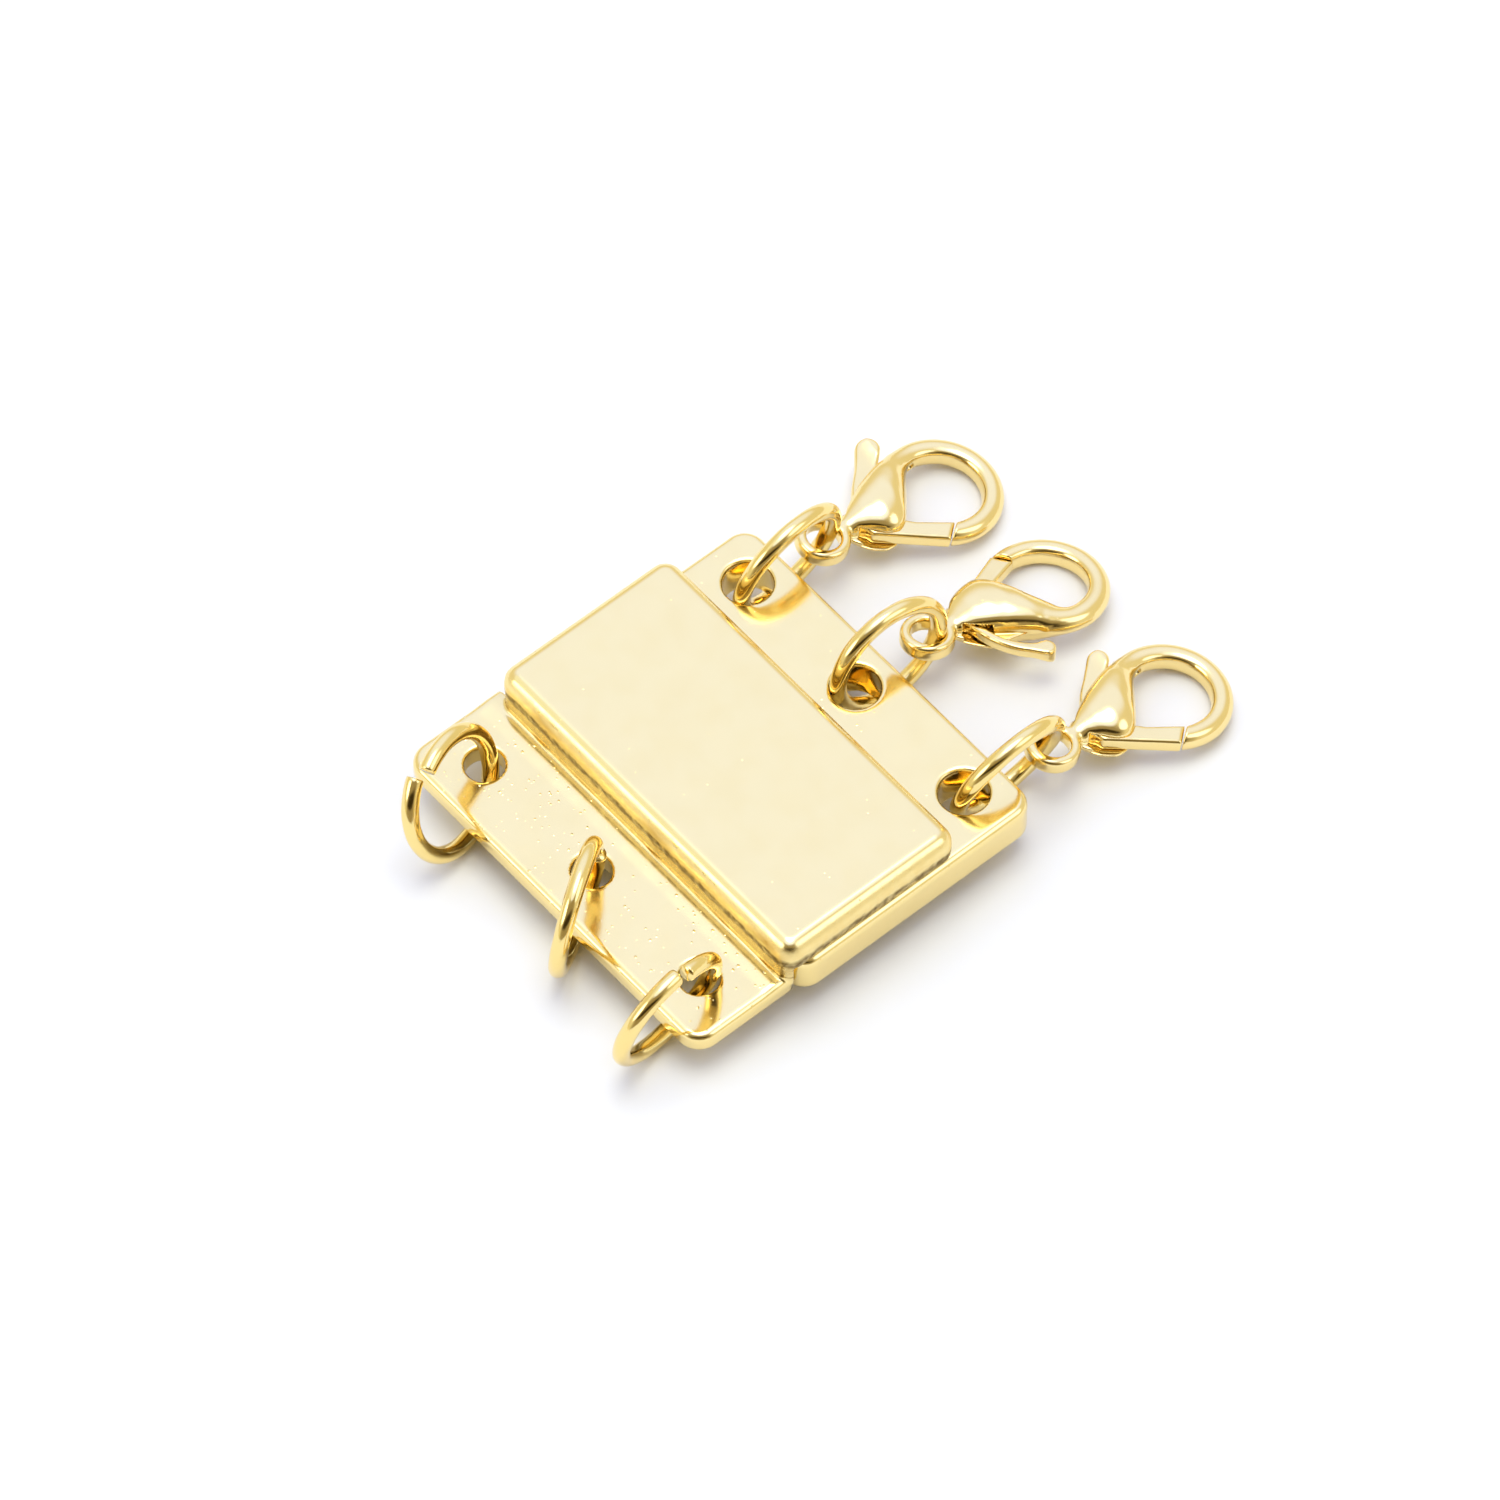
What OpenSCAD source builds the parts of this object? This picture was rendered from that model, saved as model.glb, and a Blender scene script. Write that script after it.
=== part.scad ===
// Magnetic layering clasp: two cast halves held by magnets, three open rings on the near side
// and three lobster clasps on closed rings on the far side. Millimetres, +Z up, resting on z = 0.
// X runs along the rows of holes and Y from the open rings to the lobster clasps.

/* [Lower half] */
// Width of the lower slab
lower_w = 20.7; // [16:0.1:26]
// Thickness of the lower slab
lower_t = 2.3; // [1.8:0.1:3]
// Y of the slab's near end
lower_near = -4.4; // [-6:0.1:-3]
// Y of the slab's far end
lower_far = 10; // [8:0.1:12]
// Height at which the rings hold the slab off the surface
lower_z = 1.15; // [1.1:0.01:1.6]
// Radius of the holes for the closed rings
lower_hole_r = 1.22; // [1:0.01:1.5]

/* [Upper half] */
// Width of the raised block
block_w = 20.85; // [16:0.05:26]
// X of the block's middle
block_x = -0.22; // [-0.6:0.01:0.6]
// Y of the block's near side
block_near = -5.1; // [-6:0.1:-4]
// Y of the block's far side
block_far = 5.35; // [4:0.05:7]
// Height of the block's flat top above the surface
block_top = 5.15; // [4.8:0.01:6]
// Radius of the block's rounded top edge
block_edge = 0.85; // [0.4:0.01:0.95]
// Width of the plate in front of the block
plate_w = 21.1; // [16:0.1:26]
// X of the plate's middle
plate_x = -0.6; // [-1:0.01:1]
// Y of the plate's near edge
plate_near = -10.4; // [-12:0.1:-9]
// Height of the plate's underside
plate_z = 1.37; // [1.2:0.01:1.8]
// Thickness of the plate
plate_t = 1.2; // [1:0.05:1.6]
// Radius of the holes for the open rings
plate_hole_r = 1; // [0.8:0.01:1.3]

/* [Rings] */
// Distance between neighbouring holes
hole_pitch = 7.717; // [6:0.001:9]
// Distance of each row of holes from the middle
hole_row = 7.78; // [7:0.01:9]
// Radius of a ring's centre line
ring_r = 3; // [2.6:0.05:3.4]
// Radius of a ring's wire
wire_r = 0.38; // [0.3:0.01:0.45]
// Half of the angle left open at a cut ring's gap
gap_half = 4.5; // [1:0.5:12]

/* [Magnets] */
// Radius of each magnet
magnet_r = 3; // [2:0.1:4]
// Thickness of each magnet
magnet_t = 1; // [0.6:0.1:1.4]

/* [Lobster clasps] */
// Radius of the eye's centre line
eye_r = 1.06; // [0.9:0.01:1.3]
// Radius of the eye's wire
eye_wire = 0.27; // [0.2:0.01:0.35]
// Radius of the hook's centre line
hook_r = 2.57; // [2:0.05:3.2]
// Radius of the hook's tube
hook_wire = 0.48; // [0.35:0.01:0.55]
// Distance from the eye to the middle of the hook
hook_reach = 6.78; // [6:0.01:8]
// Distance from the eye to the lever's pivot
pivot_reach = 2.4; // [2:0.05:3]
// Height of the slot that the lever moves in
slot_h = 0.85; // [0.7:0.01:1]
// Thickness of the lever
lever_t = 0.75; // [0.5:0.01:0.9]
// Radius of the lever's pin
pin_r = 0.3; // [0.2:0.01:0.4]

/* [Hidden] */
$fn = 64;
facets = 32;
body_facets = 28;
gold = [0.9, 0.78, 0.52];
steel = [0.7, 0.7, 0.72];

// The parts are drawn about the middle of the two rows of holes and then moved to the centre of their box.
box_mid = [0.31, 4.47, 0];
seam = 0.06;
lower_top = lower_z + lower_t;
block_low = lower_top + seam;
block_corner = 0.9;
plate_corner = 1.2;
slab_corner = 0.7;
slab_far_corner = 1.3;
rim = 0.2;
magnet_gap = 0.05;
// Rounding of the edges of the block's foot, the plate and the lower slab.
foot_edge = 0.1;
foot_lift = 0.1;
plate_overlap = 1;
plate_far_corner = 0.4;
plate_edge = [0.45, 0.3];
slab_edge = [0.5, 0.4];
// Clear space between the slab's near end and the step inside the upper half.
step_gap = 0.15;
cut_reach = 40;
pin_gap = 0.01;
lever_gap = 0.03;
pin_half = 0.62;
hub_r = 0.55;
slot_gap = 0.12;
tab_r = 0.5;
tip_r = 0.5;
neck_h = 1.3;
neck_r = [0.36, 0.46];
// The balls whose hull is a clasp's body: their place in its frame and their radius.
body_balls = [[-0.5, 2.55, 0.9], [-0.95, 4, 1.25], [-2.05, 5.35, 0.7], [0.35, 3.75, 0.75], [0.6, 3.1, 0.98]];
gate_slot = [[-0.6, 2.4], [-0.06, 5.6], [2.2, 5.6], [2.2, 2.3], [0.62, 2]];
tab_slot = [[-0.34, 2.98], [-3.6, 6.6], [-5, 5], [-5, 2.2], [-0.3, 1.78]];
gate_outline = [[-0.44, 2.65], [1.93, 6.32], [2.66, 5.63], [0.5, 2.1]];
arm_root = [[-0.2, 1.95], [0, 2.5], [-0.41, 2.91]];
// The far corners of a lever's arm, from the middle of its thumb tab.
arm_tip = [[0.14, 0.42], [-0.38, -0.24]];
tip_turn = -10;
root_turn = 205;
gate_end = [2.295, 5.975];
gate_end_turn = 46.4;
end_gap = 0.02;
// Blocks that trim the hook's tip and the gate at that face.
tip_trim = [2, 3, 4];
gate_trim = [2, 4, 4];
trim_shift = [0, -2, -2];
bore_h = 2;
// The arms of a cut ring meet in a ball hardly thicker than the wire.
joint_swell = 0.01;

// Each ring's centre, and the lean and turn of its axis from +Z.
open_at = [[-7.71, -10.24, 3.29], [0.94, -9.96, 3.41], [7.87, -10.36, 3.38]];
open_axis = [[72, 19], [84.5, -147], [80, -173.5]];
// Where round each open ring its cut is, and how far each arm is bent sideways.
cut_turn = [206, 262, 188];
arm_bend = [2.2, 0.8, 0.8];
link_at = [[-7.54, 10.05, 3.4], [-0.35, 10.12, 3.43], [7.96, 10.26, 3.34]];
link_axis = [[81.5, -175.5], [88, -2], [75.5, -178.5]];

// Each lobster clasp's eye, its turn from +Y towards +X, the angle by which its hook hangs down from the ring,
// its roll about its own length, and whether it lies on its other face.
eye_at = [[-7.88, 12.54, 2.22], [-0.52, 12.69, 2.27], [7.95, 13.05, 2.26]];
heading = [7.5, 7.5, 6.7];
droop = [10.7, 10.2, 10.9];
roll = [2, -8.8, 0];
flipped = [false, true, false];
// The thumb tab of each lever, in the frame of its clasp.
tab_at = [[-3.3, 4.95, 0.2], [-3.8, 4.5, -0.2], [-3.2, 5, 0.2]];

module placed() {
    translate(-box_mid)
        children();
}

// A flat disc with a rounded rim, used at the corners of the cast slabs.
module rounded_disc(r, edge) {
    rotate_extrude($fn = facets)
        intersection() {
            translate([r - edge, 0])
                circle(edge, $fn = facets);
            translate([0, -edge])
                square([r, 2 * edge]);
        }
}

module slab(x, y, z, near_r, far_r, top_edge, low_edge) {
    hull()
        for (side = [0, 1]) {
            for (end = [0, 1]) {
                corner = end == 0 ? near_r : far_r;
                translate([x[side] + (side == 0 ? corner : -corner), y[end] + (end == 0 ? corner : -corner), 0]) {
                    translate([0, 0, z[1] - top_edge])
                        rounded_disc(corner, top_edge);
                    translate([0, 0, z[0] + low_edge])
                        rounded_disc(corner, low_edge);
                }
            }
        }
}

// One row of holes with slightly opened rims.
module holes(x, y, r, low, top) {
    for (k = [-1, 0, 1])
        translate([x + k * hole_pitch, y, 0]) {
            translate([0, 0, low - rim])
                cylinder(h = top - low + 2 * rim, r = r);
            translate([0, 0, top - rim])
                cylinder(h = 2 * rim, r1 = r, r2 = r + 2 * rim);
            translate([0, 0, low - rim])
                cylinder(h = 2 * rim, r1 = r + 2 * rim, r2 = r);
        }
}

module magnet_pocket(z) {
    translate([block_x, (block_near + block_far) / 2, z])
        cylinder(h = magnet_t + magnet_gap, r = magnet_r + magnet_gap);
}

module upper_half() {
    reach = [block_x - block_w / 2, block_x + block_w / 2];
    color(gold) placed()
        difference() {
            union() {
                slab(reach, [block_near, block_far], [plate_z + foot_lift, block_top],
                     block_corner, block_corner, block_edge, foot_edge);
                slab([plate_x - plate_w / 2, plate_x + plate_w / 2], [plate_near, lower_near + plate_overlap],
                     [plate_z, plate_z + plate_t], plate_corner, plate_far_corner, plate_edge[0], plate_edge[1]);
            }
            translate([-cut_reach / 2, lower_near - step_gap, 0])
                cube([cut_reach, cut_reach, block_low]);
            holes(plate_x, -hole_row, plate_hole_r, plate_z, plate_z + plate_t);
            magnet_pocket(block_low - magnet_gap);
        }
}

module lower_half() {
    color(gold) placed()
        difference() {
            slab([-lower_w / 2, lower_w / 2], [lower_near, lower_far], [lower_z, lower_top],
                 slab_corner, slab_far_corner, slab_edge[0], slab_edge[1]);
            holes(0, hole_row, lower_hole_r, lower_z, lower_top);
            magnet_pocket(lower_top - magnet_t);
        }
}

module magnet(z) {
    color(steel) placed()
        translate([block_x, (block_near + block_far) / 2, z])
            cylinder(h = magnet_t - magnet_gap, r = magnet_r);
}

module ring_place(at, axis) {
    translate(at)
        rotate([0, axis[0], axis[1]])
            children();
}

// Half of a cut ring, bent sideways about the point opposite the cut.
module ring_arm(bend, first) {
    translate([-ring_r, 0, 0])
        rotate([0, bend, 0])
            translate([ring_r, 0, 0])
                rotate([0, 0, first])
                    rotate_extrude(angle = 180 - gap_half)
                        translate([ring_r, 0])
                            circle(wire_r, $fn = 32);
}

module open_ring(i) {
    color(gold) placed()
        ring_place(open_at[i], open_axis[i])
            rotate([0, 0, cut_turn[i]]) {
                ring_arm(arm_bend[i], gap_half);
                ring_arm(-arm_bend[i], 180);
                translate([-ring_r, 0, 0])
                    sphere(wire_r + joint_swell, $fn = 32);
            }
}

module link_ring(i) {
    color(gold) placed()
        ring_place(link_at[i], link_axis[i])
            rotate_extrude()
                translate([ring_r, 0])
                    circle(wire_r, $fn = 32);
}

// The frame of a lobster clasp: its eye at the origin, its length along Y and its gate on the +X side.
module lobster_place(i) {
    translate(eye_at[i])
        rotate([-droop[i], 0, -heading[i]])
            rotate([0, roll[i], 0])
                if (flipped[i]) {
                    mirror([1, 0, 0])
                        children();
                } else {
                    children();
                }
}

// The face between the hook's tip and the gate, with the clasp's hook on its far side.
module gate_face(gap) {
    translate([gate_end[0], gate_end[1], 0])
        rotate([0, 0, gate_end_turn])
            translate([gap, 0, 0])
                children();
}

// The space in which the lever swings, open at the gate's side and at the thumb tab's side.
module lever_slot() {
    translate([0, 0, -slot_h / 2])
        linear_extrude(slot_h) {
            translate([0, pivot_reach])
                circle(hub_r + slot_gap);
            polygon(gate_slot);
            polygon(tab_slot);
        }
}

module lobster_body(i) {
    color(gold) placed()
        lobster_place(i)
            difference() {
                union() {
                    rotate_extrude()
                        translate([eye_r, 0])
                            circle(eye_wire, $fn = 32);
                    translate([0, eye_r, 0])
                        rotate([-90, 0, 0])
                            cylinder(h = neck_h, r1 = neck_r[0], r2 = neck_r[1]);
                    hull()
                        for (ball = body_balls)
                            translate([ball[0], ball[1], 0])
                                sphere(ball[2], $fn = body_facets);
                    translate([0, hook_reach, 0])
                        rotate([0, 0, tip_turn])
                            rotate_extrude(angle = root_turn - tip_turn)
                                translate([hook_r, 0])
                                    circle(hook_wire, $fn = 32);
                    translate([0, hook_reach, 0])
                        rotate([0, 0, tip_turn])
                            translate([hook_r, 0, 0])
                                sphere(tip_r);
                }
                gate_face(end_gap - tip_trim[0])
                    translate(trim_shift)
                        cube(tip_trim);
                lever_slot();
                translate([0, pivot_reach, -pin_half - pin_gap])
                    cylinder(h = 2 * (pin_half + pin_gap), r = pin_r + pin_gap);
            }
}

module lobster_lever(i) {
    tab = [tab_at[i][0], tab_at[i][1]];
    color(gold) placed()
        lobster_place(i)
            difference() {
                union() {
                    translate([0, 0, -lever_t / 2])
                        linear_extrude(lever_t) {
                            translate([0, pivot_reach])
                                circle(hub_r);
                            polygon(gate_outline);
                            polygon(concat(arm_root, [tab + arm_tip[0], tab + arm_tip[1]]));
                        }
                    translate(tab_at[i])
                        sphere(tab_r);
                }
                gate_face(-end_gap)
                    translate(trim_shift)
                        cube(gate_trim);
                translate([0, pivot_reach, -bore_h / 2])
                    cylinder(h = bore_h, r = pin_r + lever_gap);
            }
}

module lever_pin(i) {
    color(steel) placed()
        lobster_place(i)
            translate([0, pivot_reach, -pin_half])
                cylinder(h = 2 * pin_half, r = pin_r);
}

upper_half();
lower_half();
magnet(block_low + magnet_gap / 2);  // upper_magnet
magnet(lower_top - magnet_t + magnet_gap / 2);  // lower_magnet
open_ring(0);  // open_ring_1
open_ring(1);  // open_ring_2
open_ring(2);  // open_ring_3
link_ring(0);  // link_ring_1
link_ring(1);  // link_ring_2
link_ring(2);  // link_ring_3
lobster_body(0);  // lobster_body_1
lobster_body(1);  // lobster_body_2
lobster_body(2);  // lobster_body_3
lobster_lever(0);  // lobster_lever_1
lobster_lever(1);  // lobster_lever_2
lobster_lever(2);  // lobster_lever_3
lever_pin(0);  // lever_pin_1
lever_pin(1);  // lever_pin_2
lever_pin(2);  // lever_pin_3
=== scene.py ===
import math

import bpy
import numpy as np
from mathutils import Matrix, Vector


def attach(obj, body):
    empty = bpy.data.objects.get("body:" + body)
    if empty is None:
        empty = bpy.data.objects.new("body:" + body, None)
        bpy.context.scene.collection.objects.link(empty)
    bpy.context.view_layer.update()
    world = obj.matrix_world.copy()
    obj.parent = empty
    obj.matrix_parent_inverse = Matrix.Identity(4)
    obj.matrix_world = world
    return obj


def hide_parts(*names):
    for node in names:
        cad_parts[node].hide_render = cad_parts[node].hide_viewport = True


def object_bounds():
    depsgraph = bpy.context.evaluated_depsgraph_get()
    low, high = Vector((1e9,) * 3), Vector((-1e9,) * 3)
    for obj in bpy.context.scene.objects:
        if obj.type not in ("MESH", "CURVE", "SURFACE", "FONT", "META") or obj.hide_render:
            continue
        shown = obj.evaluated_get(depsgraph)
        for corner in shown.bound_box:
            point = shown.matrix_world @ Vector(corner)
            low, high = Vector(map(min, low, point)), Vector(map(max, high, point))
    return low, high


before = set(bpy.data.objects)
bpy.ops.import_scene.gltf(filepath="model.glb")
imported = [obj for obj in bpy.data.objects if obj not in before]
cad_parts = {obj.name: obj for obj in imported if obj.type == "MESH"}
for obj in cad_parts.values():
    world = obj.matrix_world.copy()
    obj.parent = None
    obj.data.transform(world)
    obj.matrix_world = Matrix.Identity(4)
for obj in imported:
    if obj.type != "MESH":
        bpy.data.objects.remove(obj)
cad_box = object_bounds()

# The shapes are in millimetres from the source's origin. BOX_MID is the middle of the part's box there.
BOX_MID = np.array([0.31, 4.47, 0.0])
MM = 0.001
FAR = 1e9
TINY = 1e-9

# The two cast halves. The block is cut away for the lower half behind and below the undercut's planes.
PITCH = 7.717
ROW = 7.78
BLOCK = {"x": (-10.645, 10.205), "y": (-5.1, 5.35), "z": (1.6, 5.15), "corner": 0.9, "edge": 0.8}
PLATE = {"x": (-11.15, 9.95), "y": (-10.4, -3.4), "z": (1.37, 2.57), "corner": 1.2, "edge": 0.38}
LOWER = {"x": (-10.35, 10.35), "y": (-4.4, 10.0), "z": (1.15, 3.45), "corner": 1.1, "edge": 0.42}
PLATE_HOLES = {"x": -0.6, "y": -ROW, "radius": 0.97, "rim": 0.1}
LOWER_HOLES = {"x": 0.0, "y": ROW, "radius": 1.22, "rim": 0.16}
UNDERCUT = {"y": -4.55, "z": 3.51}
# Below this height the block's walls lie a little further in.
WALL_STEP = {"z": 3.82, "fade": 0.05, "depth": 0.035}
# Towards the wall the plate's top rises at this slope, over this span. Below from_z it doesn't.
RAMP = {"starts": 1.05, "span": 0.78, "slope": 0.085, "from_z": 1.9, "fade": 0.5}
# The plate's own material ends here, and is on faces that look up by more than this.
PLATE_TOP = {"y": -5.15, "level": 0.5}

# The rings. The wire's radius swings a little, and it narrows at a cut. A cut ring is bent sideways by some
# degrees, mostly within the reach from its middle, in radians. Its gap is turned to the cut's angle.
RING_R = 3.0
RING_PARTS = 200
WIRE_R = 0.42
WIRE_SIDES = 28
SLOW_SWING = 0.012
FAST_SWING = 0.008
CUT_NARROWER = 0.94
HALF_GAP = 4.5
BEND_REACH = 0.25
OPEN_RINGS = [
    {"at": (-7.71, -10.24, 3.29), "axis": (72, 19), "cut": 206, "bend": 2.2},
    {"at": (0.94, -9.96, 3.41), "axis": (84.5, -147), "cut": 262, "bend": 0.8},
    {"at": (7.87, -10.36, 3.38), "axis": (80, -173.5), "cut": 188, "bend": 0.8},
]
LINK_RINGS = [
    {"at": (-7.54, 10.05, 3.4), "axis": (81.5, -175.5)},
    {"at": (-0.35, 10.12, 3.43), "axis": (88, -2)},
    {"at": (7.96, 10.26, 3.34), "axis": (75.5, -178.5)},
]

# The lobster clasps: where each one's eye is and how it lies. The second one lies on its front shell.
LOBSTERS = [
    {"eye": (-7.88, 12.54, 2.22), "heading": 7.5, "droop": 10.7, "roll": 2.0, "flip": 1},
    {"eye": (-0.52, 12.69, 2.27), "heading": 7.5, "droop": 10.2, "roll": -8.8, "flip": -1},
    {"eye": (7.95, 13.05, 2.26), "heading": 6.7, "droop": 10.9, "roll": 0.0, "flip": 1},
]

# The grids on which the surfaces are found: their lowest and highest corners, and their steps.
UPPER_SPAN = ((-11.4, -10.65, 1.1), (10.5, 5.6, 5.4))
LOWER_SPAN = ((-10.6, -4.65, 0.9), (10.6, 10.25, 3.7))
BODY_SPAN = ((-3.6, -1.6, -1.5), (3.6, 10.3, 1.5))
LEVER_SPAN = ((-5.0, 1.3, -0.9), (3.5, 6.9, 0.9))
CASTING_STEP = 0.115
CLASP_STEP = 0.06
# How points are drawn onto a surface. The lengths are in steps of its grid.
DRAW = {"rounds": 3, "probe": 0.02, "longest_move": 0.5, "longest_way": 0.9, "least_slope": 0.05}
CORNERS = [(i, j, k) for i in (0, 1) for j in (0, 1) for k in (0, 1)]


def turn(axis, degrees):
    return np.array(Matrix.Rotation(math.radians(degrees), 3, axis))


def to_frame(points):
    return (np.asarray(points) - BOX_MID) * MM


def new_object(name, points, faces, material):
    mesh = bpy.data.meshes.new(name)
    mesh.from_pydata([tuple(p) for p in points], [], faces)
    mesh.validate()
    mesh.materials.append(material)
    mesh.polygons.foreach_set("use_smooth", [True] * len(mesh.polygons))
    mesh.update()
    obj = bpy.data.objects.new(name, mesh)
    bpy.context.scene.collection.objects.link(obj)
    return obj


def dress(piece, body, node):
    """The piece moves with its body and stands in for a solid of the frame."""
    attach(piece, body)
    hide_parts(node)


# Distances to shapes, negative inside


def smooth_max(a, b, blend):
    h = np.maximum(blend - np.abs(a - b), 0.0) / blend
    return np.maximum(a, b) + h * h * blend * 0.25


def smooth_min(a, b, blend):
    return -smooth_max(-a, -b, blend)


def round_corner(a, b, radius):
    """Distance to two faces with a round corner; a and b are measured from where the corner starts."""
    return np.hypot(np.maximum(a, 0), np.maximum(b, 0)) + np.minimum(np.maximum(a, b), 0) - radius


def rounded_box(p, box):
    """A box with round upright corners and a small radius along its other edges."""
    (x0, x1), (y0, y1), (z0, z1) = box["x"], box["y"], box["z"]
    corner, edge = box["corner"], box["edge"]
    from_x = np.abs(p[:, 0] - (x0 + x1) / 2) - ((x1 - x0) / 2 - corner)
    from_y = np.abs(p[:, 1] - (y0 + y1) / 2) - ((y1 - y0) / 2 - corner)
    from_z = np.abs(p[:, 2] - (z0 + z1) / 2) - (z1 - z0) / 2
    return round_corner(round_corner(from_x, from_y, corner) + edge, from_z + edge, edge)


def segment(p, a, b, radius_a, radius_b):
    """A straight stick whose radius changes from one end to the other."""
    a, b = np.array(a, float), np.array(b, float)
    along = b - a
    t = np.clip((p - a) @ along / (along @ along), 0, 1)
    return np.linalg.norm(p - a - t[:, None] * along, axis=1) - (radius_a + (radius_b - radius_a) * t)


def polygon(x, y, corners):
    """A closed polygon in the plane."""
    best = np.full(x.shape, FAR)
    inside = np.zeros(x.shape, bool)
    for i in range(len(corners)):
        ax, ay = corners[i]
        bx, by = corners[(i + 1) % len(corners)]
        ex, ey = bx - ax, by - ay
        wx, wy = x - ax, y - ay
        t = np.clip((wx * ex + wy * ey) / (ex * ex + ey * ey), 0, 1)
        best = np.minimum(best, np.hypot(wx - ex * t, wy - ey * t))
        if ay != by:
            inside ^= ((ay > y) != (by > y)) & (x < (bx - ax) * (y - ay) / (by - ay) + ax)
    return np.where(inside, -best, best)


# The surface on which a distance is zero


def value_at(field, p, chunk=400000):
    out = np.empty(len(p))
    for i in range(0, len(p), chunk):
        out[i:i + chunk] = field(p[i:i + chunk])
    return out


def at_corner(values, corner):
    """The grid's values at one corner of each of its cells."""
    part = tuple(slice(c, n - 1 + c) for c, n in zip(corner, values.shape))
    return values[part]


def crossings(values, cells):
    """For each of these cells, the middle of the points where the surface crosses its edges, in steps."""
    at = np.zeros((cells.sum(), 3))
    hits = np.zeros(len(at))
    for start in CORNERS:
        for k in range(3):
            if start[k]:
                continue
            end = list(start)
            end[k] = 1
            first = at_corner(values, start)[cells]
            last = at_corner(values, end)[cells]
            cut = (first < 0) != (last < 0)
            t = np.where(cut, first / np.where(cut, first - last, 1), 0)
            spot = np.array(start, float) + t[:, None] * np.eye(3)[k]
            at += spot * cut[:, None]
            hits += cut
    return at / hits[:, None]


def draw_onto(field, start, step):
    """Points moved onto the surface along the field's slope."""
    points = start
    probe = step * DRAW["probe"]
    for _ in range(DRAW["rounds"]):
        here = value_at(field, points)
        ahead = [value_at(field, points + probe * axis) for axis in np.eye(3)]
        slope = np.stack([(value - here) / probe for value in ahead], axis=1)
        size = np.maximum((slope ** 2).sum(1), DRAW["least_slope"])
        move = -(here / size)[:, None] * slope
        length = np.linalg.norm(move, axis=1)
        move *= np.minimum(1, DRAW["longest_move"] * step / np.maximum(length, TINY))[:, None]
        points = points + move
    longest = DRAW["longest_way"] * step
    return start + np.clip(points - start, -longest, longest)


def quads_across(inside, index):
    """A quad across each edge of the grid that the surface crosses, with its front outwards."""
    quads = []
    for k in range(3):
        near = [slice(1, -1)] * 3
        far = [slice(1, -1)] * 3
        near[k] = slice(0, -1)
        far[k] = slice(1, None)
        first, second = inside[tuple(near)], inside[tuple(far)]
        crossed = first != second
        offset = np.ones(3, int)
        offset[k] = 0
        edge = np.argwhere(crossed) + offset
        i, j = [m for m in range(3) if m != k]
        loop = []
        for di, dj in ((-1, -1), (0, -1), (0, 0), (-1, 0)):
            cell = edge.copy()
            cell[:, i] += di
            cell[:, j] += dj
            loop.append(index[cell[:, 0], cell[:, 1], cell[:, 2]])
        loop = np.stack(loop, axis=1)
        leaving = first[crossed]
        forward = leaving if k != 1 else ~leaving
        quads.append(np.where(forward[:, None], loop, loop[:, ::-1]))
    return np.concatenate(quads)


def surface(field, low, high, step):
    """Points and quads of the surface on which a field is zero."""
    axes = [np.arange(low[k], high[k] + step, step) for k in range(3)]
    grid = np.stack(np.meshgrid(*axes, indexing="ij"), axis=-1).reshape(-1, 3)
    values = value_at(field, grid).reshape([len(axis) for axis in axes])
    inside = values < 0
    filled = sum(at_corner(inside, corner).astype(np.int8) for corner in CORNERS)
    cells = (filled > 0) & (filled < len(CORNERS))
    index = np.full(cells.shape, -1, np.int64)
    index[cells] = np.arange(cells.sum())
    points = np.array(low) + (np.argwhere(cells) + crossings(values, cells)) * step
    return draw_onto(field, points, step), quads_across(inside, index)


def cast_piece(name, field, span, step, material, place=np.asarray):
    points, quads = surface(field, *span, step)
    return new_object(name, to_frame(place(points)), quads.tolist(), material)


# Materials


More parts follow.
